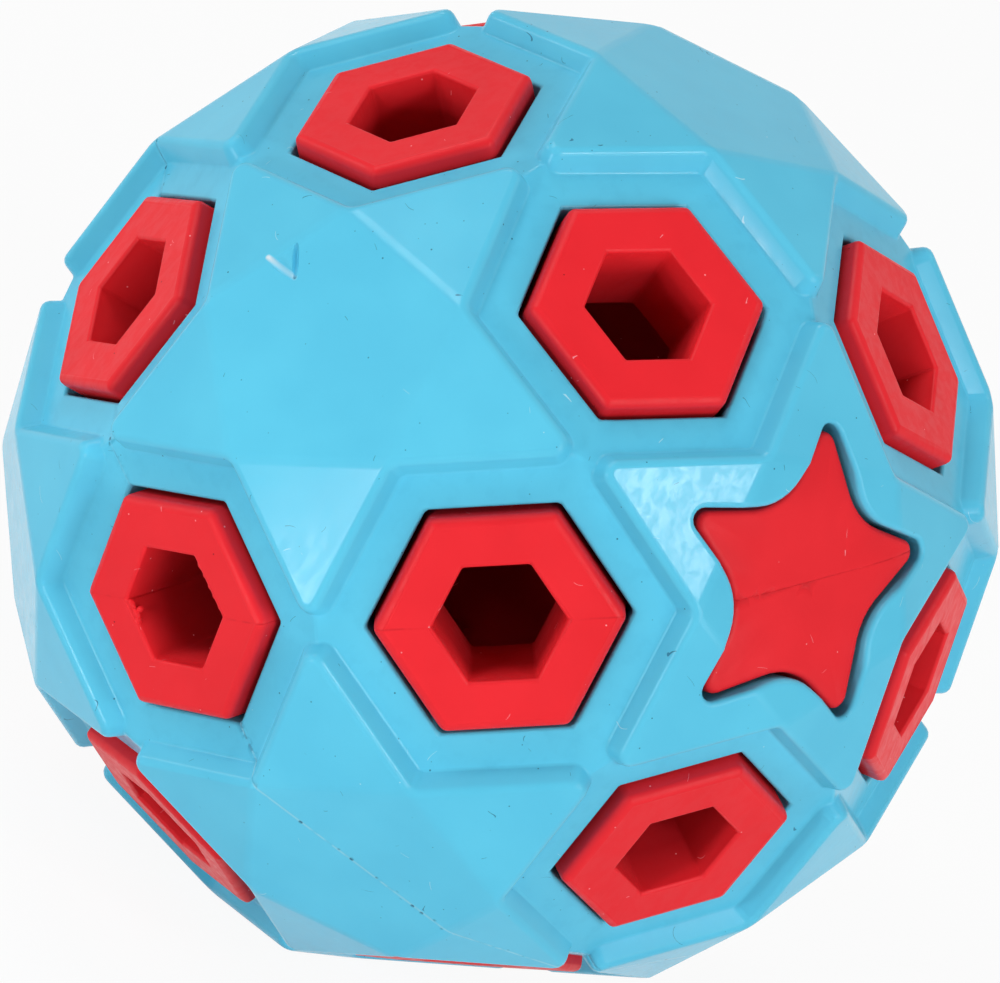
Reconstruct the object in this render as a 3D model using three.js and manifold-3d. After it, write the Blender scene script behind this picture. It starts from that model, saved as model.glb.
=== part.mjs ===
// A treat-dispensing dog ball. A blue faceted shell, moulded as two halves and bonded, holds a
// loose hollow red core, also two bonded halves, whose hexagonal nozzles stand out through the
// shell's windows. Treats go in and fall out through the nozzles' bores.
// Millimetres, +Z up, origin at the ball's centre. The ball has the symmetry of an icosahedron:
// 12 raised star bosses on its five-fold axes and 20 sunk lands with nozzles on its three-fold axes.
// One boss, facing -Y, has a star-shaped window with a red star pad in it.
import * as THREE from 'three';
import { mergeVertices } from 'three/addons/utils/BufferGeometryUtils.js';
import Module from 'manifold-3d';

// Walls, from the inside out
const cavityRadius = 28.9;      // hollow inside the core, which holds the treats
const coreWall = 3.0;           // wall of the core between its nozzles
const coreClearance = 0.4;      // gap between the core and the inside of the shell
const landWall = 3.4;           // shell from its inside to the flat land round a nozzle
const bossHeight = 2.75;        // a boss's flat facet above the lands, from the ball's centre

// Nozzles and the shell's windows round them
const nozzleCornerRadius = 9.45; // nozzle's axis to the corners of its hexagon
const nozzleStandout = 1.25;     // nozzle's face above the land
const nozzleChamfer = 0.4;       // bevel on the nozzle's outer edge
const boreCornerRadius = 5.05;   // bore's axis to its corners, at the nozzle's face
const boreDraft = 2.5;           // degrees by which each side of the bore leans in towards the cavity
const windowClearance = 0.4;     // gap between a nozzle's side and its window

// Lands, and the sloping walls of the bosses between them
const landBorder = 3.1;          // window's corner to the land's corner, at a boss
const wallLean = 38;             // degrees by which a boss's wall leans away from the land's axis
const channelWidth = 1.6;        // open channel between the tips of two bosses, at the lands
const tipTilt = 21;              // degrees between a boss's flat facet and each of its tip facets

// Star pad on the core, seen in the middle of one boss
const starTipRadius = 12.2;      // star's middle to where its straight edges meet at a tip
const starNotchRadius = 6.25;    // star's middle to where they meet at a notch
const starTipRound = 0.95;       // rounding of the tips, of the pad and of its window
const starNotchRound = 5.3;      // rounding of the pad's notches
const starClearance = 0.4;       // gap between the pad's side and its window
const starRecess = 0.95;         // pad's face below the boss's facets

// Bonded seams
const seamGap = 0.3;             // bond line between two halves

// Fineness of the round surfaces
const sphereDetail = 4;          // cuts along each edge of the icosahedron that makes a sphere
const arcSteps = 6;              // steps in each rounding of the star

const red = new THREE.MeshStandardMaterial({ color: 0xee2f38, roughness: 0.5, metalness: 0 });
const blue = new THREE.MeshStandardMaterial({ color: 0x5dc4e8, roughness: 0.5, metalness: 0 });

// Sizes that follow from those above
const coreRadius = cavityRadius + coreWall;
const shellInnerRadius = coreRadius + coreClearance;
const landDistance = shellInnerRadius + landWall;
const facetDistance = landDistance + bossHeight;
const nozzleDistance = landDistance + nozzleStandout;
const hexagonFlat = Math.cos(Math.PI / 6);
const windowCornerRadius = nozzleCornerRadius + windowClearance / hexagonFlat;
const landCornerRadius = windowCornerRadius + landBorder;
const clearOfBall = 2 * facetDistance;

const wasm = await Module();
wasm.setup();

const radians = THREE.MathUtils.degToRad;

// The part of `towards` that is square to `axis`, at unit length
function across(axis, towards) {
  return towards.clone().addScaledVector(axis, -towards.dot(axis)).normalize();
}

// A point at a height along an axis and a distance to the side of it
function placed(axis, height, side, offset) {
  return axis.clone().multiplyScalar(height).addScaledVector(side, offset);
}

// The 12 five-fold axes: one up, a ring of five, and their opposites
function fiveFoldAxes() {
  const axes = [new THREE.Vector3(0, 0, 1)];
  const polar = Math.atan(2);
  for (let k = 0; k < 5; k += 1) {
    const azimuth = -Math.PI / 2 + k * 2 * Math.PI / 5;
    const level = Math.sin(polar);
    axes.push(new THREE.Vector3(level * Math.cos(azimuth), level * Math.sin(azimuth), Math.cos(polar)));
  }
  return axes.concat(axes.map((axis) => axis.clone().negate()));
}

const axes = fiveFoldAxes();
const starAxis = axes[1];

// The five axes next to one, in turn round it, anticlockwise seen from outside
function neighboursOf(axis) {
  const near = axes.filter((other) => other.dot(axis) > 0 && other.dot(axis) < 0.9);
  const first = across(axis, near[0]);
  const second = new THREE.Vector3().crossVectors(axis, first);
  const turn = (other) => Math.atan2(other.dot(second), other.dot(first));
  return near.sort((a, b) => turn(a) - turn(b));
}

function middleOf(...directions) {
  return directions.reduce((sum, v) => sum.add(v), new THREE.Vector3()).normalize();
}

// Each land's axis, with the axis of one boss beside it
function landAxes() {
  const found = [];
  for (const axis of axes) {
    const ring = neighboursOf(axis);
    ring.forEach((neighbour, k) => {
      const land = middleOf(axis, neighbour, ring[(k + 1) % ring.length]);
      if (!found.some((other) => other.land.distanceTo(land) < 0.1)) {
        found.push({ land, boss: axis });
      }
    });
  }
  return found;
}

const lands = landAxes();

function planeThrough(point, normal) {
  return new THREE.Plane().setFromNormalAndCoplanarPoint(normal.clone().normalize(), point);
}

// Where a line from a point meets a plane
function meets(point, direction, plane) {
  const steps = -plane.distanceToPoint(point) / plane.normal.dot(direction);
  return point.clone().addScaledVector(direction, steps);
}

// The corners of one boss, in turn round its axis. For each land beside it there are a floor corner
// and a rim corner, and for each neighbouring boss a floor tip and a rim tip.
function bossCorners(axis) {
  const ring = neighboursOf(axis);
  const count = ring.length;
  const facet = planeThrough(axis.clone().multiplyScalar(facetDistance), axis);
  const corners = ring.map((neighbour, k) => {
    const land = middleOf(axis, neighbour, ring[(k + 1) % count]);
    const crossing = middleOf(axis, neighbour);
    const crossingDistance = landDistance / land.dot(crossing);
    return {
      land,
      crossing,
      floorCorner: placed(land, landDistance, across(land, axis), landCornerRadius),
      floorTip: placed(crossing, crossingDistance, across(crossing, axis), channelWidth / 2),
    };
  });
  // A wall rises from each floor line, and two walls meet in an edge above a corner or a tip
  const wallNormal = (land, from, to) => {
    const line = to.clone().sub(from).normalize();
    const outward = across(line, across(land, axis));
    const rise = placed(land, Math.cos(radians(wallLean)), outward, Math.sin(radians(wallLean)));
    return new THREE.Vector3().crossVectors(line, rise).normalize();
  };
  corners.forEach((corner, k) => {
    const next = corners[(k + 1) % count];
    corner.wallBefore = wallNormal(corner.land, corner.floorCorner, corner.floorTip);
    corner.wallAfter = wallNormal(corner.land, corner.floorCorner, next.floorTip);
    const edge = new THREE.Vector3().crossVectors(corner.wallBefore, corner.wallAfter);
    corner.rimCorner = meets(corner.floorCorner, edge, facet);
  });
  // A tip facet hangs from the crease between two rim corners
  corners.forEach((corner, k) => {
    const last = corners[(k + count - 1) % count];
    const crease = corner.rimCorner.clone().sub(last.rimCorner).normalize();
    const outward = across(axis, corner.crossing);
    const slope = placed(axis, -Math.sin(radians(tipTilt)), outward, Math.cos(radians(tipTilt)));
    corner.tipFacet = planeThrough(corner.rimCorner, new THREE.Vector3().crossVectors(slope, crease));
    const edge = new THREE.Vector3().crossVectors(last.wallAfter, corner.wallBefore);
    corner.rimTip = meets(corner.floorTip, edge, corner.tipFacet);
  });
  return corners;
}

// A closed mesh from flat convex polygons whose corners run anticlockwise seen from outside
function meshFromPolygons(polygons) {
  const positions = [];
  for (const polygon of polygons) {
    for (let k = 1; k + 1 < polygon.length; k += 1) {
      for (const corner of [polygon[0], polygon[k], polygon[k + 1]]) {
        positions.push(corner.x, corner.y, corner.z);
      }
    }
  }
  const geometry = new THREE.BufferGeometry();
  geometry.setAttribute('position', new THREE.Float32BufferAttribute(positions, 3));
  return geometry;
}

// The faceted outside of the shell: facets and tip facets of the bosses, their walls, and the lands
function shellOutside() {
  const polygons = [];
  const floors = lands.map(() => []);
  for (const axis of axes) {
    const corners = bossCorners(axis);
    polygons.push(corners.map((corner) => corner.rimCorner));
    corners.forEach((corner, k) => {
      const next = corners[(k + 1) % corners.length];
      const last = corners[(k + corners.length - 1) % corners.length];
      polygons.push([last.rimCorner, corner.rimTip, corner.rimCorner]);
      polygons.push([corner.rimCorner, corner.rimTip, corner.floorTip, corner.floorCorner]);
      polygons.push([corner.rimCorner, corner.floorCorner, next.floorTip, next.rimTip]);
      const at = lands.findIndex((entry) => entry.land.distanceTo(corner.land) < 0.1);
      floors[at].push(corner.floorCorner, corner.floorTip, next.floorTip);
    });
  }
  lands.forEach((entry, at) => {
    const first = across(entry.land, entry.boss);
    const second = new THREE.Vector3().crossVectors(entry.land, first);
    const turn = (point) => Math.atan2(point.dot(second), point.dot(first));
    polygons.push(floors[at].sort((a, b) => turn(a) - turn(b)));
  });
  return meshFromPolygons(polygons);
}

// Three.js shapes made into solids for joining and cutting, and back
function solid(geometry) {
  const bare = geometry.clone();
  bare.deleteAttribute('normal');
  bare.deleteAttribute('uv');
  const merged = mergeVertices(bare, 1e-4);
  return new wasm.Manifold(new wasm.Mesh({
    numProp: 3,
    vertProperties: new Float32Array(merged.attributes.position.array),
    triVerts: new Uint32Array(merged.index.array),
  }));
}

function geometryOf(body) {
  const mesh = body.getMesh();
  const geometry = new THREE.BufferGeometry();
  geometry.setAttribute('position', new THREE.BufferAttribute(new Float32Array(mesh.vertProperties), 3));
  geometry.setIndex(new THREE.BufferAttribute(new Uint32Array(mesh.triVerts), 1));
  geometry.computeVertexNormals();
  return geometry;
}

// Turns a shape so that its +Y runs along an axis and its +Z points to one side
function turned(geometry, axis, side) {
  const first = new THREE.Vector3().crossVectors(axis, side);
  return geometry.applyMatrix4(new THREE.Matrix4().makeBasis(first, axis, side));
}

function sphere(radius) {
  return solid(new THREE.IcosahedronGeometry(radius, sphereDetail));
}

// A hexagonal prism or taper on a land's axis, with a corner pointing at each boss.
// Its profile is a list of [corner radius, distance from the ball's centre].
function hexagonal(entry, profile) {
  const inner = profile[0][1];
  const outer = profile[profile.length - 1][1];
  const points = [[0, inner], ...profile, [0, outer]].map(([r, h]) => new THREE.Vector2(r, h));
  return solid(turned(new THREE.LatheGeometry(points, 6), entry.land, across(entry.land, entry.boss)));
}

// A star with straight edges, rounded tips and rounded notches, grown by an offset from the pad's
function starShape(offset, notchRound) {
  const step = Math.PI / 5;
  const tip = new THREE.Vector2(starTipRadius, 0);
  const notch = new THREE.Vector2(starNotchRadius * Math.cos(step), starNotchRadius * Math.sin(step));
  const edgeLean = Math.atan2(notch.y, tip.x - notch.x);
  const tipRadius = starTipRadius + offset / Math.sin(edgeLean);
  const notchRadius = starNotchRadius + offset / Math.sin(edgeLean + step);
  const shape = new THREE.Shape();
  for (let k = 0; k < 5; k += 1) {
    const tipAngle = 2 * k * step;
    const tipTurn = Math.PI / 2 - edgeLean;
    const tipMiddle = tipRadius - starTipRound / Math.sin(edgeLean);
    shape.absarc(
      tipMiddle * Math.cos(tipAngle), tipMiddle * Math.sin(tipAngle),
      starTipRound, tipAngle - tipTurn, tipAngle + tipTurn, false,
    );
    const notchAngle = tipAngle + step;
    const notchTurn = Math.PI / 2 - edgeLean - step;
    const notchMiddle = notchRadius + notchRound / Math.sin(edgeLean + step);
    shape.absarc(
      notchMiddle * Math.cos(notchAngle), notchMiddle * Math.sin(notchAngle),
      notchRound, notchAngle + Math.PI + notchTurn, notchAngle + Math.PI - notchTurn, true,
    );
  }
  return shape;
}

// A prism of a star along the star axis, with a tip pointing at each neighbouring boss
function starPrism(shape, inner, outer) {
  const geometry = new THREE.ExtrudeGeometry(shape, {
    depth: outer - inner,
    steps: 1,
    bevelEnabled: false,
    curveSegments: arcSteps,
  });
  geometry.translate(0, 0, inner);
  const first = across(starAxis, neighboursOf(starAxis)[0]);
  const second = new THREE.Vector3().crossVectors(starAxis, first);
  return solid(geometry.applyMatrix4(new THREE.Matrix4().makeBasis(first, second, starAxis)));
}

// Everything beyond a plane, as a block large enough to clear the ball
function beyond(normal, distance) {
  const geometry = new THREE.BoxGeometry(2 * clearOfBall, clearOfBall, 2 * clearOfBall);
  geometry.translate(0, distance + clearOfBall / 2, 0);
  const aside = Math.abs(normal.x) < 0.5 ? new THREE.Vector3(1, 0, 0) : new THREE.Vector3(0, 1, 0);
  return solid(turned(geometry, normal, across(normal, aside)));
}

// One half of a hollow body, cut back from the parting plane by half the bond line
function half(body, normal) {
  return body.subtract(beyond(normal.clone().negate(), -seamGap / 2));
}

function joined(bodies) {
  return bodies.reduce((sum, body) => sum.add(body));
}

const starWindowShape = starShape(starClearance, starNotchRound - starClearance);
const starPadShape = starShape(0, starNotchRound);

function shell() {
  const windows = lands.map((entry) => hexagonal(entry, [
    [windowCornerRadius, cavityRadius],
    [windowCornerRadius, clearOfBall],
  ]));
  const starWindow = starPrism(starWindowShape, cavityRadius, clearOfBall);
  return solid(shellOutside())
    .subtract(sphere(shellInnerRadius))
    .subtract(joined(windows))
    .subtract(starWindow);
}

// The pad's face follows the boss's flat facet and its five tip facets, sunk by the recess
function starPad() {
  let pad = starPrism(starPadShape, cavityRadius - coreWall, facetDistance - starRecess);
  for (const corner of bossCorners(starAxis)) {
    const { normal, constant } = corner.tipFacet;
    const facing = Math.sign(normal.dot(starAxis));
    pad = pad.subtract(beyond(normal.clone().multiplyScalar(facing), -constant * facing - starRecess));
  }
  return pad;
}

function nozzle(entry) {
  return hexagonal(entry, [
    [nozzleCornerRadius, cavityRadius - coreWall],
    [nozzleCornerRadius, nozzleDistance - nozzleChamfer],
    [nozzleCornerRadius - nozzleChamfer, nozzleDistance],
  ]);
}

function bore(entry) {
  const lean = Math.tan(radians(boreDraft)) / hexagonFlat;
  const inner = cavityRadius - coreWall;
  const outer = nozzleDistance + coreWall;
  return hexagonal(entry, [
    [boreCornerRadius - (nozzleDistance - inner) * lean, inner],
    [boreCornerRadius + (outer - nozzleDistance) * lean, outer],
  ]);
}

function core() {
  return sphere(coreRadius)
    .add(joined(lands.map(nozzle)))
    .add(starPad())
    .subtract(sphere(cavityRadius))
    .subtract(joined(lands.map(bore)));
}

// Each parting plane is square to a two-fold axis. The shell's passes clear of the star, and the
// core's runs through the middle of the star pad and of four nozzles.
const shellParting = middleOf(axes[0], axes[1]);
const coreParting = middleOf(axes[0], axes[4]);

function part(name, body, material) {
  const mesh = new THREE.Mesh(geometryOf(body), material);
  mesh.name = name;
  return mesh;
}

const shellBody = shell();
const coreBody = core();
const ball = new THREE.Group();
ball.add(
  part('blue_shell_upper_half', half(shellBody, shellParting), blue),
  part('blue_shell_lower_half', half(shellBody, shellParting.clone().negate()), blue),
  part('red_core_upper_half', half(coreBody, coreParting), red),
  part('red_core_lower_half', half(coreBody, coreParting.clone().negate()), red),
);

export default ball;
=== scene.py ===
"""The looks of a treat-dispensing dog ball: a blue faceted rubber shell over a red rubber core."""
import math

import bmesh
import bpy
from mathutils import Matrix, Vector, noise


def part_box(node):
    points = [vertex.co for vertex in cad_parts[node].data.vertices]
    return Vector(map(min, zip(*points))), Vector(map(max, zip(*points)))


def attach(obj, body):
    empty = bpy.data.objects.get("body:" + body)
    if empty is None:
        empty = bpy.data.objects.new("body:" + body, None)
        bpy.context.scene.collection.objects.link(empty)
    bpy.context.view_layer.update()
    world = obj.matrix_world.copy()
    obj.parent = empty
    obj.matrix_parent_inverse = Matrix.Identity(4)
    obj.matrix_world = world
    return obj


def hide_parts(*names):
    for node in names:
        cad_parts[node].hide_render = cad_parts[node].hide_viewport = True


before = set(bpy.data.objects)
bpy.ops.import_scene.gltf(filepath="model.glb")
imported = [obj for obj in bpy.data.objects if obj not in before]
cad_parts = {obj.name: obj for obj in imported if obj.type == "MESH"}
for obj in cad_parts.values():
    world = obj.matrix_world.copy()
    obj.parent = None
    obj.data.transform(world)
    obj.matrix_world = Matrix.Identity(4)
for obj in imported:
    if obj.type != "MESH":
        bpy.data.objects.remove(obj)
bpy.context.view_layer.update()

# The outside of the blue shell: soft thermoplastic rubber, moulded as a ball with the symmetry of
# an icosahedron. Twelve raised star bosses stand on its corners, and between them lie twenty sunk
# lands, each with a hexagonal window. One wedge of a boss, mirrored and turned round, makes it all.
mm = 0.001
facet_distance = -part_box("blue_shell_lower_half")[0].z
shell_inner_radius = 32.3 * mm
land_distance = 35.7 * mm
window_corner_radius = 9.912 * mm
land_corner_radius = 13.14 * mm
wall_lean = math.radians(39.7)
tip_reach = 0.68 * mm
tip_tilt = math.radians(20.3)
rim_round = 1.0 * mm
foot_round = 1.5 * mm
tip_steps = 4
wedge_steps = 4
# Corners nearer to each other than this are one corner
weld = 0.001 * mm

# Three directions bound the wedge: through the middle of a boss, through the middle of a land, and
# through a crossing, where the tips of two bosses face each other
boss_axis = Vector((0, 0, 1))
boss_spacing = math.atan(2)
next_boss = Vector((math.sin(boss_spacing), 0, math.cos(boss_spacing)))
fifth_turn = Matrix.Rotation(math.radians(72), 3, "Z")
tenth_turn = Matrix.Rotation(math.radians(36), 3, "Z")
crossing_axis = (boss_axis + next_boss).normalized()
land_axis = (boss_axis + next_boss + fifth_turn @ next_boss).normalized()
beside_crossing = Vector((0, 1, 0))
beside_land = tenth_turn @ beside_crossing


def across(axis, towards):
    """The part of `towards` that is square to `axis`, at unit length."""
    return (towards - axis * towards.dot(axis)).normalized()


def meets(point, direction, plane_point, plane_normal):
    """Where a line through a point meets a plane."""
    return point + direction * ((plane_point - point).dot(plane_normal) / direction.dot(plane_normal))


def on_sphere(point, direction, radius):
    """Where a line through a point leaves a sphere about the ball's centre, going one way."""
    along = point.dot(direction)
    return point + direction * (math.sqrt(along ** 2 - point.length_squared + radius ** 2) - along)


to_boss = across(land_axis, boss_axis)
to_crossing = across(land_axis, crossing_axis)
land_middle = land_axis * land_distance
floor_corner = land_middle + to_boss * land_corner_radius
window_at_boss = land_middle + to_boss * window_corner_radius
window_at_crossing = land_middle + to_crossing * window_corner_radius
crossing = meets(Vector(), crossing_axis, land_middle, land_axis)
sharp_tip = crossing - across(crossing_axis, boss_axis) * tip_reach

foot_line = (sharp_tip - floor_corner).normalized()
wall_rise = land_axis * math.cos(wall_lean) + across(foot_line, to_boss) * math.sin(wall_lean)
wall_normal = wall_rise.cross(foot_line).normalized()
facet_middle = boss_axis * facet_distance
rim_corner = meets(floor_corner, wall_normal.cross(beside_land), facet_middle, boss_axis)
crease_middle = Vector((rim_corner.x, 0, rim_corner.z))
tip_facet_normal = Vector((math.sin(tip_tilt), 0, math.cos(tip_tilt)))

# Each tip is rounded off, more at its foot than at its rim
tip_line = wall_normal.cross(beside_crossing)
tip_front = across(beside_crossing, wall_normal)


def tip_arc(radius, plane_point, plane_normal):
    """Points round half a tip, from its front to its wall, where a round edge meets a plane."""
    middle = sharp_tip - tip_front * (radius / tip_front.dot(wall_normal))
    outward = [tip_front.slerp(wall_normal, step / tip_steps) for step in range(tip_steps + 1)]
    return [meets(middle + normal * radius, tip_line, plane_point, plane_normal) for normal in outward]


rim_arc = tip_arc(rim_round, crease_middle, tip_facet_normal)
foot_arc = tip_arc(foot_round, land_middle, land_axis)

shell_mesh = bmesh.new()
shell_weight = shell_mesh.edges.layers.float.new("bevel_weight_edge")


def corners(mesh, points):
    """Adds a corner to a mesh for each point of a list."""
    return [mesh.verts.new(point) for point in points]


def verts_of(geometry):
    """The corners in a list that also holds edges and faces."""
    return [item for item in geometry if isinstance(item, bmesh.types.BMVert)]


def domed(mesh, patches):
    """Cuts four-sided patches of a wedge into fine grids and pushes each out to its own sphere. The edge
    that a patch shares with a flat side slides along a direction instead, and stays in that side."""
    outlines = [edge for patch in patches for edge in patch[0].edges]
    cut = bmesh.ops.subdivide_edges(mesh, edges=outlines, cuts=wedge_steps, use_grid_fill=True)["geom"]
    outermost = max(patch[1] for patch in patches) + weld
    for vert in {vert for item in cut if isinstance(item, bmesh.types.BMFace) for vert in item.verts}:
        if vert.co.length > outermost:
            continue
        nearest = min(patches, key=lambda patch: abs(patch[1] - vert.co.length))
        _, radius, slide, side_point, side_normal = nearest
        if abs((vert.co - side_point).dot(side_normal)) < weld:
            vert.co = on_sphere(vert.co, slide, radius)
        else:
            vert.co = vert.co.normalized() * radius


facet_corner, crease_corner, rim_end, floor_end, crossing_corner = corners(
    shell_mesh, [facet_middle, crease_middle, rim_corner, floor_corner, crossing])
rims = corners(shell_mesh, rim_arc)
feet = corners(shell_mesh, foot_arc)
lip_boss, lip_crossing, inner_boss, inner_crossing, under_crossing, under_facet = corners(shell_mesh, [
    window_at_boss, window_at_crossing,
    on_sphere(window_at_boss, land_axis, shell_inner_radius),
    on_sphere(window_at_crossing, land_axis, shell_inner_radius),
    crossing_axis * shell_inner_radius, boss_axis * shell_inner_radius])
for around in (
    [facet_corner, crease_corner, rim_end],
    [crease_corner, *rims, rim_end],
    [rim_end, rims[-1], feet[-1], floor_end],
    [floor_end, *reversed(feet), crossing_corner, lip_crossing, lip_boss],
    [lip_boss, lip_crossing, inner_crossing, inner_boss],
    *([rims[k], rims[k + 1], feet[k + 1], feet[k]] for k in range(tip_steps)),
):
    shell_mesh.faces.new(around)

# How far each kind of edge is rounded back on both sides. An edge is marked with its share of the
# widest rounding on the ball, which goes round the nozzles' faces.
widest = 0.65 * mm
rim_width = 0.55 * mm
foot_width = 0.18 * mm
crease_width = 0.5 * mm
valley_width = 0.4 * mm
ridge_width = 0.25 * mm
lip_width = 0.3 * mm
window_corner_width = 0.32 * mm
for width, one, other in (
    (crease_width, crease_corner, rim_end),
    (rim_width, rim_end, rims[-1]),
    (foot_width, floor_end, feet[-1]),
    (valley_width, rim_end, floor_end),
    (ridge_width, feet[0], crossing_corner),
    (lip_width, lip_boss, lip_crossing),
    (window_corner_width, lip_boss, inner_boss),
    (window_corner_width, lip_crossing, inner_crossing),
    *((rim_width, rims[k], rims[k + 1]) for k in range(tip_steps)),
    *((foot_width, feet[k], feet[k + 1]) for k in range(tip_steps)),
):
    shell_mesh.edges.get((one, other))[shell_weight] = width / widest

window_side = land_axis.cross(window_at_crossing - window_at_boss).normalized()
inside = shell_mesh.faces.new([inner_boss, inner_crossing, under_crossing, under_facet])
domed(shell_mesh, [(inside, shell_inner_radius, land_axis, window_at_boss, window_side)])


def ball_axes():
    """The twelve axes of the bosses: the corners of an icosahedron with one up and one towards -Y."""
    icosahedron = bmesh.new()
    quarter_turn = Matrix.Rotation(-math.pi / 2, 4, "Z")
    bmesh.ops.create_icosphere(icosahedron, subdivisions=1, radius=1, matrix=quarter_turn)
    found = [vert.co.normalized() for vert in icosahedron.verts]
    icosahedron.free()
    return found


axes = ball_axes()


def boss_turn(axis):
    """Turns a boss that is drawn about +Z, with a neighbour towards +X, to stand on an axis."""
    # A neighbour is on the same side of the ball, and isn't the axis itself
    neighbour = next(other for other in axes if 0 < other.dot(axis) < 0.9)
    towards = across(axis, neighbour)
    return Matrix((towards, axis.cross(towards), axis)).transposed().to_4x4()


def whole_ball(mesh):
    """Mirrors a wedge, spins it to a boss and sets a boss on each axis."""
    def everything():
        return mesh.verts[:] + mesh.edges[:] + mesh.faces[:]
    bmesh.ops.mirror(mesh, geom=everything(), matrix=Matrix.Identity(4), merge_dist=weld, axis="Y")
    bmesh.ops.recalc_face_normals(mesh, faces=mesh.faces[:])
    bmesh.ops.spin(mesh, geom=everything(), cent=(0, 0, 0), axis=boss_axis, angle=4 * math.radians(72),
                   steps=4, use_duplicate=True)
    drawn = everything()
    for axis in axes:
        copied = bmesh.ops.duplicate(mesh, geom=drawn)["geom"]
        bmesh.ops.transform(mesh, matrix=boss_turn(axis), verts=verts_of(copied))
    bmesh.ops.delete(mesh, geom=verts_of(drawn), context="VERTS")
    bmesh.ops.remove_doubles(mesh, verts=mesh.verts[:], dist=weld)
    bmesh.ops.recalc_face_normals(mesh, faces=mesh.faces[:])
    # Facets and lands lose the lines between their wedges, which lie flat
    bmesh.ops.dissolve_limit(mesh, angle_limit=math.radians(0.5), verts=mesh.verts[:], edges=mesh.edges[:])


whole_ball(shell_mesh)


def nearest_axis(x, y, z):
    """The axis of the boss that stands nearest to a direction."""
    return max(axes, key=lambda axis: axis.dot(Vector((x, y, z))))


# The star-shaped window in the boss that faces -Y: straight sides, small round tips and wide round
# notches, cut square through the boss with a small gap all round the red pad that stands in it.
star_axis = nearest_axis(0, -2, 1)
star_turn = boss_turn(star_axis)
star_tip_radius = 12.2 * mm
star_notch_radius = 6.25 * mm
star_tip_round = 0.95 * mm
star_notch_round = 5.3 * mm
star_gap = 0.4 * mm
star_lip_width = 0.5 * mm
star_lip_beyond = 34.5 * mm
star_arc_steps = 6
star_cutter_foot = 30 * mm
star_cutter_top = 45 * mm


def arc(middle_radius, middle_angle, radius, start, turn):
    """Points along an arc of a flat outline, whose middle is given by its radius and angle."""
    middle = Vector((math.cos(middle_angle), math.sin(middle_angle), 0)) * middle_radius
    angles = [start + turn * step / star_arc_steps for step in range(star_arc_steps + 1)]
    return [middle + Vector((math.cos(angle), math.sin(angle), 0)) * radius for angle in angles]


def star_prism(grown, notch_round, inner, outer):
    """A star with its outline grown all round, pushed up along +Z from one distance to another."""
    tenth = math.radians(36)
    notch_aside = star_notch_radius * math.sin(tenth)
    notch_short = star_tip_radius - star_notch_radius * math.cos(tenth)
    lean = math.atan2(notch_aside, notch_short)
    tip_middle = star_tip_radius + (grown - star_tip_round) / math.sin(lean)
    notch_middle = star_notch_radius + (grown + notch_round) / math.sin(lean + tenth)
    tip_half = math.radians(90) - lean
    notch_half = tip_half - tenth
    outline = []
    for point in range(5):
        angle = 2 * tenth * point
        outline += arc(tip_middle, angle, star_tip_round, angle - tip_half, 2 * tip_half)
        opposite = angle + tenth + math.pi
        outline += arc(notch_middle, angle + tenth, notch_round, opposite + notch_half, -2 * notch_half)
    prism = bmesh.new()
    prism.faces.new(corners(prism, [point + Vector((0, 0, inner)) for point in outline]))
    pushed = bmesh.ops.extrude_face_region(prism, geom=prism.faces[:], use_keep_orig=True)["geom"]
    bmesh.ops.translate(prism, vec=(0, 0, outer - inner), verts=verts_of(pushed))
    bmesh.ops.recalc_face_normals(prism, faces=prism.faces[:])
    return prism


scene = bpy.context.scene


def piece(name, mesh):
    """Makes a new object from a mesh, at the origin."""
    data = bpy.data.meshes.new(name)
    mesh.to_mesh(data)
    mesh.free()
    made = bpy.data.objects.new(name, data)
    scene.collection.objects.link(made)
    return made


def settle(made):
    """Applies a piece's modifiers to its mesh."""
    depsgraph = bpy.context.evaluated_depsgraph_get()
    data = bpy.data.meshes.new_from_object(made.evaluated_get(depsgraph), preserve_all_data_layers=True,
                                           depsgraph=depsgraph)
    made.modifiers.clear()
    made.data = data


def boolean(made, operation, tool_mesh):
    """Joins a solid to a piece, cuts it away, or keeps what lies in both."""
    tool = piece("tool", tool_mesh)
    cut = made.modifiers.new("cut", "BOOLEAN")
    cut.operation = operation
    cut.solver = "MANIFOLD"
    cut.object = tool
    settle(made)
    bpy.data.objects.remove(tool)


shell = piece("shell", shell_mesh)
window_cutter = star_prism(star_gap, star_notch_round - star_gap, star_cutter_foot, star_cutter_top)
window_cutter.transform(star_turn)
boolean(shell, "DIFFERENCE", window_cutter)


def weigh_star(made, beyond, width):
    """Marks for rounding the edges at which a star's upright sides end, past a distance from the centre."""
    mesh = bmesh.new()
    mesh.from_mesh(made.data)
    weight = mesh.edges.layers.float["bevel_weight_edge"]
    for edge in mesh.edges:
        # One face beside such an edge stands upright, and the other faces out or nearly so
        leans = [abs(face.normal.dot(star_axis)) for face in edge.link_faces]
        side_ends = min(leans) < 0.001 and max(leans) > 0.5
        middle = (edge.verts[0].co + edge.verts[1].co) / 2
        height = middle.dot(star_axis)
        aside = (middle - star_axis * height).length
        if side_ends and aside < star_tip_radius + mm and height > beyond:
            edge[weight] = width / widest
    mesh.to_mesh(made.data)
    mesh.free()


def round_edges(made):
    """Rounds a piece's marked edges, each as far back as its mark says."""
    bevel = made.modifiers.new("rounding", "BEVEL")
    bevel.limit_method = "WEIGHT"
    bevel.width = widest
    bevel.segments = 3
    bevel.profile = 0.5
    bevel.use_clamp_overlap = False
    settle(made)


weigh_star(shell, star_lip_beyond, star_lip_width)
round_edges(shell)

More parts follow.
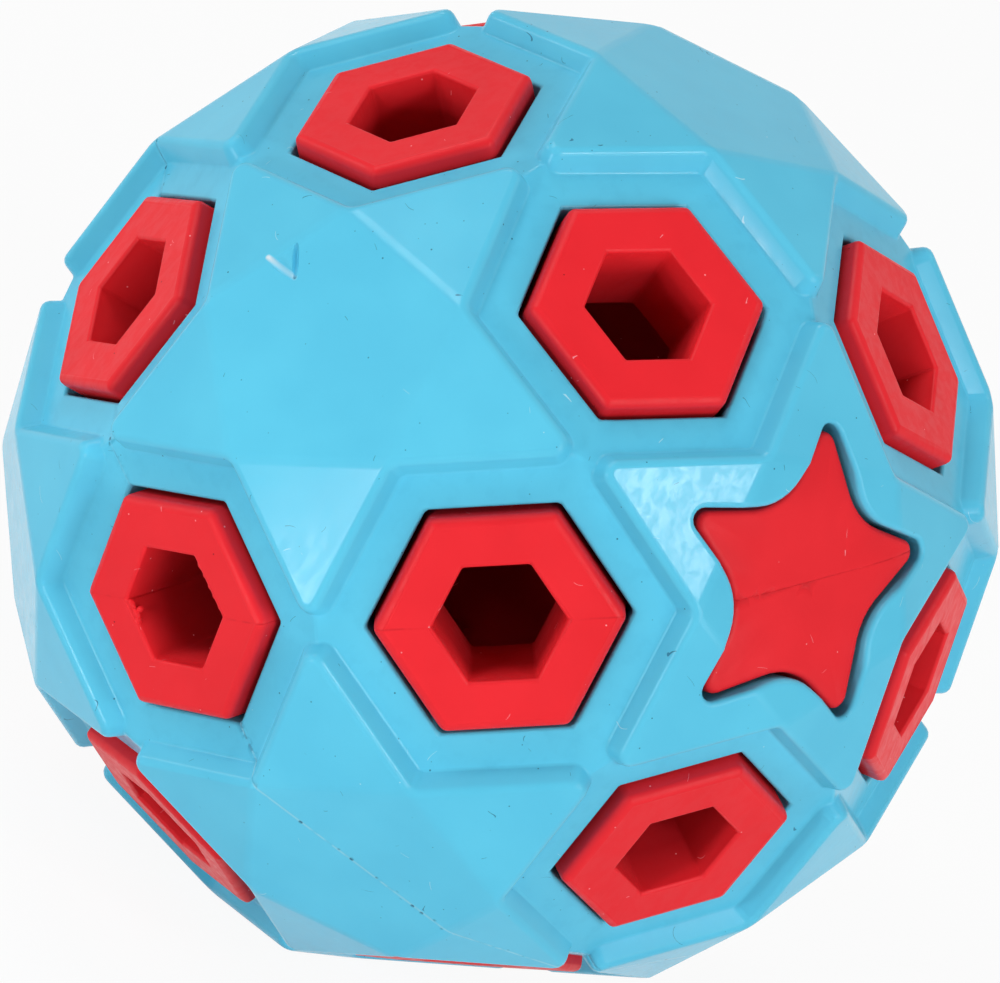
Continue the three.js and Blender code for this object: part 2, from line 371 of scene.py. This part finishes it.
# A small V-shaped nick in the facet of the boss at the upper left, with its arms reaching to the crease:
# a mark of the tool that freed the moulding. Its points are given along the facet and across it, and each
# arm is a shallow groove, cut by the underside of a lens whose middle lies above the facet.
nick_boss = nearest_axis(-3, -1, 2)
nick_along = across(nick_boss, nearest_axis(-2, 3, 2))
nick_across = nick_boss.cross(nick_along)
nick_point = Vector((6.3, -0.35)) * mm
nick_wide_end = Vector((9.1, 0.75)) * mm
nick_deep_end = Vector((8.6, -1.7)) * mm
# Ends of the painted highlight along the wide arm and of the painted shade along the deep arm
nick_highlight_end = Vector((9.0, 0.7)) * mm
nick_shade_end = Vector((8.5, -1.65)) * mm
# Each lens is longer than its arm by this, because it tapers to nothing at its ends
lens_overrun = 1.25


def nick_place(along, across_it):
    """A place on the nicked facet, from its distances along the facet and across it."""
    return nick_boss * facet_distance + nick_along * along + nick_across * across_it


def spindle(middle, along, upright, length, width, depth):
    """A long pointed lens, lying along one direction with its depth along another."""
    lens = bmesh.new()
    stretch = Matrix.Diagonal((length, width, depth, 1))
    bmesh.ops.create_icosphere(lens, subdivisions=3, radius=0.5, matrix=stretch)
    aside = upright.cross(along).normalized()
    lens.transform(Matrix.Translation(middle) @ Matrix((along, aside, upright)).transposed().to_4x4())
    return lens


for arm_end, arm_width, lens_depth, groove_depth in (
    (nick_wide_end, 0.9 * mm, 0.7 * mm, 0.18 * mm),
    (nick_deep_end, 0.6 * mm, 1.2 * mm, 0.35 * mm),
):
    arm = arm_end - nick_point
    half_way = (arm_end + nick_point) / 2
    lens_height = facet_distance + lens_depth / 2 - groove_depth
    lens_middle = nick_boss * lens_height + nick_along * half_way.x + nick_across * half_way.y
    arm_direction = (nick_along * arm.x + nick_across * arm.y).normalized()
    lens_length = arm.length * lens_overrun
    lens = spindle(lens_middle, arm_direction, nick_boss, lens_length, arm_width, lens_depth)
    boolean(shell, "DIFFERENCE", lens)

# The two halves of the shell, bonded along a plane that passes clear of the star. The bond is a
# hairline: it wanders on the lands and walls, where rubber oozed, and runs straight over the facets.
shell_parting = (boss_axis + star_axis).normalized()
seam_rings = 14
seam_steps = 640
seam_radius = 45 * mm
seam_depth = 60 * mm
# The rings of the cut lie closer together towards the ball's outside, where it shows
ring_crowding = 0.25
# Waves to the radian, and what each kind gives to the whole
broad_waves = 24
fine_waves = 70
broad_share = 0.7
fine_share = 0.3
# The waves keep their least share on the upper side, and grow to full over this span of facing down
down_from = 0.1
down_span = 0.3
least_wave = 0.3
# How far below the facets the bond starts to wander, and over what depth
facet_calm = 0.8 * mm


def seam_cutter(normal, gap, wander_low, wander_high):
    """Everything on the far side of a parting plane, with a finely wavy face. The face wanders more near
    the ball's centre than at the bosses' facets, and more on the ball's underside."""
    sheet_turn = normal.to_track_quat("Z", "Y").to_matrix()
    sheet = bmesh.new()
    bmesh.ops.create_grid(sheet, x_segments=seam_rings, y_segments=seam_steps, size=0.5)
    for vert in sheet.verts:
        radius = seam_radius * (vert.co.x + 0.5) ** ring_crowding
        angle = (vert.co.y + 0.5) * 2 * math.pi
        outwards = Vector((math.cos(angle), math.sin(angle), 0))
        wave = noise.noise(outwards * broad_waves) * broad_share
        wave += noise.noise((outwards + boss_axis) * fine_waves) * fine_share
        downward = -(sheet_turn @ outwards).z
        wave *= min(max((downward - down_from) / down_span, least_wave), 1)
        sunk = min(max((facet_distance - facet_calm - radius) / facet_calm, 0), 1)
        wander = wander_high + (wander_low - wander_high) * sunk
        height = wander * wave + gap if radius > 0 else gap
        vert.co = (radius * math.cos(angle), radius * math.sin(angle), height)
    bmesh.ops.remove_doubles(sheet, verts=sheet.verts[:], dist=weld)
    rim = [edge for edge in sheet.edges if edge.is_boundary]
    pulled = bmesh.ops.extrude_edge_only(sheet, edges=rim)["geom"]
    for vert in verts_of(pulled):
        vert.co.z = -seam_depth
    bmesh.ops.holes_fill(sheet, edges=[edge for edge in sheet.edges if edge.is_boundary])
    bmesh.ops.recalc_face_normals(sheet, faces=sheet.faces[:])
    sheet.transform(sheet_turn.to_4x4())
    return sheet


def halves(whole, normal, names, gap, wander_low, wander_high):
    """Parts a whole body into an upper and a lower half."""
    upper = bpy.data.objects.new(names[0], whole.data.copy())
    scene.collection.objects.link(upper)
    whole.name = names[1]
    boolean(upper, "DIFFERENCE", seam_cutter(normal, gap, wander_low, wander_high))
    boolean(whole, "INTERSECT", seam_cutter(normal, 0, wander_low, wander_high))
    return upper, whole


def keep_flat(made):
    """Shades a piece smooth, with each flat face left flat between its rounded edges."""
    made.data.shade_smooth()
    weighted = made.modifiers.new("flat faces", "WEIGHTED_NORMAL")
    weighted.mode = "FACE_AREA"
    weighted.weight = 100


shell_halves = halves(shell, shell_parting, ("blue_shell_upper", "blue_shell_lower"),
                      gap=0.04 * mm, wander_low=0.3 * mm, wander_high=0.05 * mm)


def add_node(tree, kind, inputs=None, **settings):
    """Adds a node with its settings, and fills its inputs with values or with other nodes' outputs."""
    node = tree.nodes.new(kind)
    for name, value in settings.items():
        setattr(node, name, value)
    for name, value in (inputs or {}).items():
        if isinstance(value, bpy.types.NodeSocket):
            tree.links.new(value, node.inputs[name])
        else:
            node.inputs[name].default_value = value
    return node


def linear(hex_colour):
    """A colour written in sRGB hex, as the linear values that a shader takes."""
    parts = [int(hex_colour[start:start + 2], 16) / 255 for start in (1, 3, 5)]
    return (*[part / 12.92 if part <= 0.04045 else ((part + 0.055) / 1.055) ** 2.4 for part in parts], 1)


# Where a colour mix node takes its two colours and gives the result
first_colour, second_colour, mixed_colour = 6, 7, 2


def overlap(tree, *masks):
    """Where all of several masks overlap."""
    shared = masks[0]
    for mask in masks[1:]:
        product = add_node(tree, "ShaderNodeMath", {0: shared, 1: mask}, operation="MULTIPLY")
        shared = product.outputs["Value"]
    return shared


def clouded(tree, place, size, low, high, strength, detail=2):
    """A cloudy mask: 0 where the clouds are thin, and up to a strength where they are thick."""
    clouds = add_node(tree, "ShaderNodeTexNoise", {"Vector": place, "Scale": 1 / size, "Detail": detail})
    return add_node(tree, "ShaderNodeMapRange", {
        "Value": clouds.outputs["Fac"], "From Min": low, "From Max": high,
        "To Max": strength}).outputs["Result"]


def specks(tree, place, spacing, radius, share):
    """A mask of tiny specks of dust, in a share of the cells of a given spacing."""
    cells = add_node(tree, "ShaderNodeTexVoronoi", {"Vector": place, "Scale": 1 / spacing})
    channels = add_node(tree, "ShaderNodeSeparateColor", {"Color": cells.outputs["Color"]})
    near = add_node(tree, "ShaderNodeMapRange", {
        "Value": cells.outputs["Distance"],
        "From Min": 0.6 * radius / spacing, "From Max": radius / spacing,
        "To Min": 1, "To Max": 0}).outputs["Result"]
    picked = add_node(tree, "ShaderNodeMath", {0: channels.outputs["Red"], 1: share}, operation="LESS_THAN")
    return overlap(tree, near, picked.outputs["Value"])


def hairs(tree, place, curl, width=0.01 * mm):
    """A mask of short curved hairs of lint: pieces of the contour lines of a soft noise."""
    field = add_node(tree, "ShaderNodeTexNoise", {"Vector": place, "Scale": 1 / curl, "Detail": 0})
    on_line = add_node(tree, "ShaderNodeMath", {0: field.outputs["Fac"], 1: 0.5, 2: width / curl},
                       operation="COMPARE").outputs["Value"]
    cut_short = clouded(tree, place, curl / 2, low=0.76, high=0.78, strength=1, detail=0)
    return overlap(tree, on_line, cut_short)


def beside_bond(tree, place, parting, reach):
    """A mask along a body's bond line: 1 on its parting plane, down to 0 at a reach from it."""
    off = add_node(tree, "ShaderNodeVectorMath", {0: place, 1: parting}, operation="DOT_PRODUCT")
    gap = add_node(tree, "ShaderNodeMath", {0: off.outputs["Value"]}, operation="ABSOLUTE")
    return add_node(tree, "ShaderNodeMapRange", {
        "Value": gap.outputs["Value"], "From Min": 0, "From Max": reach,
        "To Min": 1, "To Max": 0}).outputs["Result"]


def within(tree, place, inner, outer):
    """A mask of what lies deep in the ball: 1 inside one radius, down to 0 at another."""
    out = add_node(tree, "ShaderNodeVectorMath", {0: place}, operation="LENGTH")
    return add_node(tree, "ShaderNodeMapRange", {
        "Value": out.outputs["Value"], "From Min": inner, "From Max": outer,
        "To Min": 1, "To Max": 0}).outputs["Result"]


def stroke(tree, place, start, end, reach, at_start, at_end):
    """A mask along a short straight mark, with a strength at each end, and down to 0 at a reach from its
    line."""
    line = end - start
    from_start = add_node(tree, "ShaderNodeVectorMath", {0: place, 1: start},
                          operation="SUBTRACT").outputs["Vector"]
    along = add_node(tree, "ShaderNodeVectorMath", {0: from_start, 1: line / line.length_squared},
                     operation="DOT_PRODUCT").outputs["Value"]
    share = add_node(tree, "ShaderNodeClamp", {"Value": along}).outputs["Result"]
    nearest = add_node(tree, "ShaderNodeVectorMath", {0: line, "Scale": share},
                       operation="SCALE").outputs["Vector"]
    off = add_node(tree, "ShaderNodeVectorMath", {0: from_start, 1: nearest},
                   operation="DISTANCE").outputs["Value"]
    near = add_node(tree, "ShaderNodeMapRange", {
        "Value": off, "From Min": 0.3 * reach, "From Max": reach,
        "To Min": 1, "To Max": 0}).outputs["Result"]
    strength = add_node(tree, "ShaderNodeMapRange", {
        "Value": share, "To Min": at_start, "To Max": at_end}).outputs["Result"]
    return overlap(tree, near, strength)


# Sizes of what moulding leaves in the skin of both rubbers. The eroded grain is about 0.05 mm across,
# and it is drawn 0.3 mm across so that it shows.
cloud_size = 7 * mm
streak_size = 0.8 * mm
streak_squash = 0.45
swell_size = 4 * mm
swell_height = 0.015 * mm
grain_size = 0.3 * mm
# Inside the windows and bores the mould was left rough, and the skin is duller by this much roughness
dulled_by = 0.5
dull_inside = 35.5 * mm
satin_outside = 36.8 * mm


def moulded_rubber(name, pale, deep, marks, satin, grain_height):
    """Moulded thermoplastic rubber: an even satin skin from a finely eroded mould, clouded a little
    between two shades. `marks` lays further colours over it, each through its own mask; `satin` gives
    the lowest and highest roughness, which change in the soft streaks that show in its highlights."""
    rubber = bpy.data.materials.new(name)
    rubber.use_nodes = True
    tree = rubber.node_tree
    shader = tree.nodes["Principled BSDF"]
    shader.inputs["IOR"].default_value = 1.5
    # The eroded grain scatters part of each reflection, so the skin mirrors less than bare rubber
    shader.inputs["Specular IOR Level"].default_value = 0.15
    place = add_node(tree, "ShaderNodeTexCoord").outputs["Object"]
    colour = add_node(tree, "ShaderNodeMix", {
        "Factor": clouded(tree, place, cloud_size, low=0.35, high=0.65, strength=1),
        first_colour: linear(pale), second_colour: linear(deep)}, data_type="RGBA").outputs[mixed_colour]
    for mask, mark in marks(tree, place):
        colour = add_node(tree, "ShaderNodeMix", {
            "Factor": mask, first_colour: colour, second_colour: linear(mark)},
            data_type="RGBA").outputs[mixed_colour]
    tree.links.new(colour, shader.inputs["Base Color"])
    squashed = add_node(tree, "ShaderNodeMapping", {
        "Vector": place, "Scale": (1, 1, streak_squash)}).outputs["Vector"]
    streaks = add_node(tree, "ShaderNodeTexNoise", {
        "Vector": squashed, "Scale": 1 / streak_size, "Detail": 5, "Roughness": 0.65, "Distortion": 0.5})
    roughness = add_node(tree, "ShaderNodeMapRange", {
        "Value": streaks.outputs["Fac"], "From Min": 0.4, "From Max": 0.6,
        "To Min": satin[0], "To Max": satin[1]}).outputs["Result"]
    dull = within(tree, place, dull_inside, satin_outside)
    duller = add_node(tree, "ShaderNodeMath", {0: dull, 1: dulled_by, 2: roughness},
                      operation="MULTIPLY_ADD").outputs["Value"]
    tree.links.new(duller, shader.inputs["Roughness"])
    swell = add_node(tree, "ShaderNodeTexNoise", {"Vector": place, "Scale": 1 / swell_size, "Detail": 1})
    soft = add_node(tree, "ShaderNodeBump", {"Height": swell.outputs["Fac"], "Distance": swell_height})
    grain = add_node(tree, "ShaderNodeTexNoise", {"Vector": place, "Scale": 1 / grain_size, "Detail": 2})
    fine = add_node(tree, "ShaderNodeBump", {
        "Height": grain.outputs["Fac"], "Distance": grain_height, "Normal": soft.outputs["Normal"]})
    tree.links.new(fine.outputs["Normal"], shader.inputs["Normal"])
    return rubber


def blue_marks(tree, place):
    """What lies on the blue rubber: darker clouds on all that lies below the facets, dirt and dark dots
    along the bond, a pale line on it that is a painted highlight, dust and lint, and at the nick a painted
    highlight along one arm and painted shade along the other."""
    # Darker clouds over all that lies deeper than the facets, from about 37.6 mm from the centre inwards
    below_facets = within(tree, place, inner=37.6 * mm, outer=38.5 * mm)
    darker_clouds = clouded(tree, place, 1.4 * mm, low=0.5, high=0.8, strength=0.16, detail=4)
    height = add_node(tree, "ShaderNodeSeparateXYZ", {"Vector": place}).outputs["Z"]
    underside = add_node(tree, "ShaderNodeMapRange", {
        "Value": height, "From Min": -14 * mm, "From Max": -5 * mm,
        "To Min": 1, "To Max": 0.25}).outputs["Result"]
    near_bond = beside_bond(tree, place, shell_parting, 0.5 * mm)
    bond_dirt = clouded(tree, place, 0.5 * mm, low=0.42, high=0.55, strength=0.9)
    on_bond = beside_bond(tree, place, shell_parting, 0.15 * mm)
    bond_line = clouded(tree, place, 1.0 * mm, low=0.35, high=0.5, strength=0.9)
    at_bond = beside_bond(tree, place, shell_parting, 0.35 * mm)
    bond_dots = specks(tree, place, spacing=0.8 * mm, radius=0.22 * mm, share=0.7)
    nick_start = nick_place(*nick_point)
    # Painted light at the nick: a pale painted highlight along one arm and dark painted shade along the
    # other
    painted_nick_highlight = stroke(tree, place, nick_start, nick_place(*nick_highlight_end),
                         reach=0.28 * mm, at_start=0.3, at_end=1)
    painted_nick_shade = stroke(tree, place, nick_start, nick_place(*nick_shade_end),
                         reach=0.2 * mm, at_start=1, at_end=0.2)
    return (
        (overlap(tree, below_facets, darker_clouds), "#3C93BC"),
        # A pale line on the bond, stronger on the underside: a painted highlight, as of a raised lip
        # catching the light
        (overlap(tree, underside, on_bond, bond_line), "#9ADBF0"),
        (overlap(tree, below_facets, near_bond, underside, bond_dirt), "#2A86AE"),
        (overlap(tree, at_bond, bond_dots), "#1B5F80"),
        (specks(tree, place, spacing=1.2 * mm, radius=0.09 * mm, share=0.12), "#2F7896"),
        (specks(tree, place, spacing=0.7 * mm, radius=0.07 * mm, share=0.1), "#3F93B5"),
        (specks(tree, place, spacing=1.5 * mm, radius=0.07 * mm, share=0.08), "#A5DDF0"),
        (hairs(tree, place, curl=2.6 * mm), "#3A88A8"),
        (hairs(tree, place, curl=4.1 * mm), "#A9DEF0"),
        (painted_nick_highlight, "#DCE6EC"),
        (painted_nick_shade, "#1F7DA3"),
    )


blue = moulded_rubber("moulded blue thermoplastic rubber", "#5FCBEB", "#5BC6E7", blue_marks,
                      satin=(0.17, 0.25), grain_height=0.001 * mm)
for half, node in zip(shell_halves, ("blue_shell_upper_half", "blue_shell_lower_half")):
    half.data.materials.clear()
    half.data.materials.append(blue)
    keep_flat(half)
    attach(half, "shell")
    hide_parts(node)

# The red core: a hollow ball of the same kind of rubber, loose in the shell. Twenty hexagonal nozzles
# stand out of it through the windows, with tapered bores, and the star pad is moulded on with them.
core_radius = 31.9 * mm
cavity_radius = 28.9 * mm
# How far a hexagon's sides are from its middle, as a share of how far its corners are
hexagon_flat = math.cos(math.radians(30))
nozzle_corner_radius = 9.45 * mm
nozzle_distance = 36.95 * mm
nozzle_rim_width = widest
nozzle_corner_width = 0.45 * mm
bore_corner_radius = 5.05 * mm
bore_draft = math.tan(math.radians(2.5)) / hexagon_flat
bore_corner_width = 0.2 * mm
mouth_width = 0.3 * mm
witness_inset = 0.74 * mm
witness_width = 0.12 * mm
witness_height = 0.035 * mm

core_mesh = bmesh.new()
core_weight = core_mesh.edges.layers.float.new("bevel_weight_edge")
nozzle_middle = land_axis * nozzle_distance


def hexagon(corner_radius, raised=0):
    """Two neighbouring corners of a hexagon about a nozzle's axis, on its face or raised above it."""
    return [nozzle_middle + side * corner_radius + land_axis * raised for side in (to_boss, to_crossing)]


nozzle_points = hexagon(nozzle_corner_radius)
mouth_points = hexagon(bore_corner_radius)
# A witness line, raised a hair above the face, goes round it where the mould's insert ended
witness_radius = nozzle_corner_radius - witness_inset / hexagon_flat
crest_boss, crest_crossing = corners(core_mesh, hexagon(witness_radius, witness_height))
dip_boss, dip_crossing = corners(core_mesh, hexagon(witness_radius - witness_width / hexagon_flat))
bore_lines = [(land_axis + side * bore_draft).normalized() for side in (to_boss, to_crossing)]
face_boss, face_crossing, mouth_boss, mouth_crossing = corners(core_mesh, nozzle_points + mouth_points)
foot_boss, foot_crossing = corners(
    core_mesh, [on_sphere(point, land_axis, core_radius) for point in nozzle_points])
end_boss, end_crossing = corners(
    core_mesh, [on_sphere(point, line, cavity_radius) for point, line in zip(mouth_points, bore_lines)])
over_crossing, over_boss, cavity_crossing, cavity_boss = corners(core_mesh, [
    crossing_axis * core_radius, boss_axis * core_radius,
    crossing_axis * cavity_radius, boss_axis * cavity_radius])
for around in (
    [face_boss, face_crossing, crest_crossing, crest_boss],
    [crest_boss, crest_crossing, dip_crossing, dip_boss],
    [dip_boss, dip_crossing, mouth_crossing, mouth_boss],
    [face_boss, face_crossing, foot_crossing, foot_boss],
    [mouth_boss, mouth_crossing, end_crossing, end_boss],
):
    core_mesh.faces.new(around)
for width, one, other in (
    (nozzle_rim_width, face_boss, face_crossing),
    (mouth_width, mouth_boss, mouth_crossing),
    (nozzle_corner_width, face_boss, foot_boss),
    (nozzle_corner_width, face_crossing, foot_crossing),
    (bore_corner_width, mouth_boss, end_boss),
    (bore_corner_width, mouth_crossing, end_crossing),
):
    core_mesh.edges.get((one, other))[core_weight] = width / widest
nozzle_side = land_axis.cross(nozzle_points[1] - nozzle_points[0]).normalized()
bore_side = bore_lines[0].cross(bore_lines[1]).normalized()
bore_slide = (bore_lines[0] + bore_lines[1]).normalized()
outside = core_mesh.faces.new([foot_boss, foot_crossing, over_crossing, over_boss])
cavity = core_mesh.faces.new([end_boss, end_crossing, cavity_crossing, cavity_boss])
domed(core_mesh, [
    (outside, core_radius, land_axis, nozzle_points[0], nozzle_side),
    (cavity, cavity_radius, bore_slide, mouth_points[0], bore_side)])
whole_ball(core_mesh)

# The star pad, moulded on the core: its face follows the boss's facets, sunk below them by the recess and
# softly rounded from one to the next. The rounding sinks it another 0.3 mm at the creases.
star_recess = 0.6 * mm
pad_softness = 0.45 * mm
pad_grown = 0.1 * mm
pad_rim_width = 0.4 * mm
pad_rim_beyond = 33 * mm
pad_border = 0.6 * mm
pad_rings = 6


def pad_height(x, y):
    """How far out the pad's face lies: the lowest of the sunk facets there, blended into the others."""
    heights = [facet_distance - star_recess]
    for point in range(5):
        turn = Matrix.Rotation(math.radians(72 * point), 3, "Z")
        normal = turn @ tip_facet_normal
        sunk = turn @ crease_middle - normal * star_recess
        heights.append(sunk.z - ((x - sunk.x) * normal.x + (y - sunk.y) * normal.y) / normal.z)
    lowest = min(heights)
    blend = sum(math.exp((lowest - height) / pad_softness) for height in heights)
    return lowest - pad_softness * math.log(blend)


pad = star_prism(pad_grown, star_notch_round - pad_grown, star_cutter_foot, facet_distance)
pad.edges.layers.float.new("bevel_weight_edge")
top = max(pad.faces, key=lambda face: face.calc_center_median().z)
bmesh.ops.inset_region(pad, faces=[top], thickness=pad_border, use_even_offset=True)
poked = bmesh.ops.poke(pad, faces=[top])
bmesh.ops.subdivide_edges(pad, edges=poked["verts"][0].link_edges[:], cuts=pad_rings)
for vert in pad.verts:
    if vert.co.z > star_cutter_foot + mm:
        vert.co.z = pad_height(vert.co.x, vert.co.y)
pad.transform(star_turn)
core = piece("core", core_mesh)
boolean(core, "UNION", pad)
weigh_star(core, pad_rim_beyond, pad_rim_width)
round_edges(core)

# The core's halves are bonded along a plane through the middles of two nozzles at the left. Where it
# crosses the mouth of the outer one, flash was left: a torn lump at one corner, and a ragged edge.
left_pair = nearest_axis(-3, -1, 2) + nearest_axis(-2, -3, -2)
far_left = nearest_axis(-3, 1, -2)
core_parting = (left_pair + star_axis).cross(left_pair + far_left).normalized()
ragged_nozzle = (left_pair + far_left).normalized()
mouth_left = across(ragged_nozzle, far_left)
mouth_side = ragged_nozzle.cross(mouth_left)


def flash(degrees_round, out, below, length, thick, deep):
    """A sliver of rubber at a bore's mouth, lying along the bore's side. Its place is given by its way
    round from the left corner, how far out from the bore's middle it is, and how far below the face."""
    angle = math.radians(degrees_round)
    aside = mouth_left * math.cos(angle) + mouth_side * math.sin(angle)
    middle = ragged_nozzle * (nozzle_distance - below) + aside * out
    side_facing = math.radians(60 * (degrees_round // 60) + 30)
    along = mouth_side * math.cos(side_facing) - mouth_left * math.sin(side_facing)
    boolean(core, "UNION", spindle(middle, along, ragged_nozzle, length, thick, deep))


# The torn lump: slivers in degrees round, millimetres out, below the face, and long
for degrees_round, out, below, length in (
    (5, 4.8, 0.35, 0.9),
    (14, 4.5, 0.4, 1.0),
    (21, 4.45, 0.3, 0.6),
    (11, 4.25, 0.6, 0.5),
):
    flash(degrees_round, out * mm, below * mm, length * mm, thick=0.5 * mm, deep=0.6 * mm)

# The ragged edge, across the mouth from it: slivers in degrees round, millimetres out, and long
for degrees_round, out, length in (
    (188, 4.8, 0.8),
    (199, 4.5, 0.6),
    (209, 4.42, 0.7),
    (221, 4.5, 0.5),
    (231, 4.7, 0.8),
):
    flash(degrees_round, out * mm, below=0.35 * mm, length=length * mm, thick=0.3 * mm, deep=0.5 * mm)

core_halves = halves(core, core_parting, ("red_core_upper", "red_core_lower"),
                     gap=0.012 * mm, wander_low=0.05 * mm, wander_high=0.03 * mm)


def red_marks(tree, place):
    """What lies on the red rubber: painted shade that darkens it deeper into the ball, the bond line, dust
    and lint.
    """
    on_bond = beside_bond(tree, place, core_parting, 0.12 * mm)
    bond_line = clouded(tree, place, 1.2 * mm, low=0.45, high=0.65, strength=0.35)
    return (
        # Painted shade: the bores, the nozzles' sides and the core between them darken the deeper they lie
        (within(tree, place, inner=33.5 * mm, outer=36.7 * mm), "#C21822"),
        (overlap(tree, on_bond, bond_line), "#B8101E"),
        (specks(tree, place, spacing=1.1 * mm, radius=0.08 * mm, share=0.2), "#F79AA0"),
        (specks(tree, place, spacing=1.6 * mm, radius=0.08 * mm, share=0.1), "#8E0E16"),
        (hairs(tree, place, curl=2.6 * mm), "#F58C94"),
    )


red = moulded_rubber("moulded red thermoplastic rubber", "#EF2831", "#E9252E", red_marks,
                     satin=(0.36, 0.5), grain_height=0.003 * mm)
for half, node in zip(core_halves, ("red_core_upper_half", "red_core_lower_half")):
    half.data.materials.clear()
    half.data.materials.append(red)
    keep_flat(half)
    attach(half, "core")
    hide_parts(node)

# The camera, at the photograph's angle: 480 mm from the middle of the ball, on the star's side, and
# looking a little down on it. Its lens and shift frame the ball as the photograph does.
scene.view_settings.view_transform = "Standard"
camera_back = Vector((-0.6251, -0.6702, 0.4001)).normalized()
camera_right = across(camera_back, Vector((0.7723, -0.4566, 0.4417)))
camera_up = camera_back.cross(camera_right)
camera_distance = 480.03 * mm
camera_data = bpy.data.cameras.new("camera")
camera_data.lens = 217.0
camera_data.sensor_width = 36
camera_data.shift_x = 0.000107
camera_data.shift_y = 0.00757
camera_data.clip_start = 0.01
camera_data.clip_end = 20
camera = bpy.data.objects.new("camera", camera_data)
camera.matrix_world = Matrix.Translation(camera_back * camera_distance) @ Matrix(
    (camera_right, camera_up, camera_back)).transposed().to_4x4()
scene.collection.objects.link(camera)
scene.camera = camera

# The floor is matt white card under the ball. What the camera and every reflection see of it is mostly
# plain white, and the small rest is its own lit surface, which shows the ball's soft shadow.
floor_reach = 3
# A hair below the facet that the ball rests on, so that the two never fight for the same place
floor_gap = 0.02 * mm
card_whiteness = 0.93
floor_mesh = bmesh.new()
bmesh.ops.create_grid(floor_mesh, x_segments=1, y_segments=1, size=floor_reach)
bmesh.ops.translate(floor_mesh, vec=(0, 0, -facet_distance - floor_gap), verts=floor_mesh.verts)
floor = piece("floor", floor_mesh)


def seen(tree):
    """1 for what the camera or a reflection sees, 0 for what only lights the object."""
    path = add_node(tree, "ShaderNodeLightPath")
    mirrored = add_node(tree, "ShaderNodeMath", {
        0: path.outputs["Is Glossy Ray"], 1: path.outputs["Is Transmission Ray"]},
        operation="MAXIMUM").outputs["Value"]
    return add_node(tree, "ShaderNodeMath", {0: path.outputs["Is Camera Ray"], 1: mirrored},
                    operation="MAXIMUM").outputs["Value"]


card = bpy.data.materials.new("matt white card")
card.use_nodes = True
floor.data.materials.append(card)
card_tree = card.node_tree
matt = card_tree.nodes["Principled BSDF"]
matt.inputs["Base Color"].default_value = (0.8, 0.8, 0.8, 1)
matt.inputs["Roughness"].default_value = 0.9
matt.inputs["Specular IOR Level"].default_value = 0.2
share = add_node(card_tree, "ShaderNodeMath", {0: seen(card_tree), 1: card_whiteness},
                 operation="MULTIPLY").outputs["Value"]
white = add_node(card_tree, "ShaderNodeEmission", {"Strength": 1.0}).outputs["Emission"]
paper = add_node(card_tree, "ShaderNodeMixShader", {0: share, 1: matt.outputs["BSDF"], 2: white})
card_tree.links.new(paper.outputs["Shader"], card_tree.nodes["Material Output"].inputs["Surface"])

# The studio: a dim even light from all round fills what the lamps leave dark, while the camera and every
# reflection see a plain white backdrop in its place.
studio = bpy.data.worlds.new("studio")
studio.use_nodes = True
scene.world = studio
studio_tree = studio.node_tree
fill = studio_tree.nodes["Background"]
fill.inputs["Color"].default_value = (1, 1, 1, 1)
fill.inputs["Strength"].default_value = 0.07
backdrop = add_node(studio_tree, "ShaderNodeBackground", {
    "Color": (1, 1, 1, 1), "Strength": 1.0}).outputs["Background"]
around = add_node(studio_tree, "ShaderNodeMixShader", {
    0: seen(studio_tree), 1: fill.outputs["Background"], 2: backdrop}).outputs["Shader"]
studio_tree.links.new(around, studio_tree.nodes["World Output"].inputs["Surface"])

# Soft boxes round the camera and out to the sides, and two small lamps near the ball at the left, one of
# them close above the floor. Each is given by how far it stands off the camera's line, its way round that
# line from the right, its distance, width and height in metres, and its power in watts.
for lamp_name, off_line, way_round, lamp_distance, lamp_width, lamp_height, power in (
    ("right soft box", 39.5, 358.8, 1.0, 0.13, 0.13, 2.0),
    ("front light", 35, 325, 1.0, 0.3, 0.3, 2.1),
    ("left soft box", 40, 160, 1.0, 0.3, 0.3, 0.2),
    ("low left lamp", 40.4, 193, 0.187, 0.015, 0.015, 0.026),
    ("left lamp", 33, 187.4, 0.191, 0.015, 0.015, 0.038),
    ("upper left light", 60, 110, 1.0, 0.3, 0.3, 2.5),
    ("low right light", 58, 330, 1.0, 0.3, 0.3, 1.8),
    ("top light", 85, 90, 1.0, 0.3, 0.3, 2.5),
    ("left rim light", 85, 146, 1.0, 0.3, 0.3, 1.4),
    ("right rim light", 85, 30, 1.0, 0.3, 0.3, 0.85),
):
    lamp = bpy.data.lights.new(lamp_name, "AREA")
    lamp.energy = power
    lamp.shape = "RECTANGLE"
    lamp.size = lamp_width
    lamp.size_y = lamp_height
    aside = camera_right * math.cos(math.radians(way_round)) + camera_up * math.sin(math.radians(way_round))
    towards = camera_back * math.cos(math.radians(off_line)) + aside * math.sin(math.radians(off_line))
    soft_box = bpy.data.objects.new(lamp_name, lamp)
    facing = towards.to_track_quat("Z", "Y").to_matrix().to_4x4()
    soft_box.matrix_world = Matrix.Translation(towards * lamp_distance) @ facing
    soft_box.visible_camera = False
    scene.collection.objects.link(soft_box)
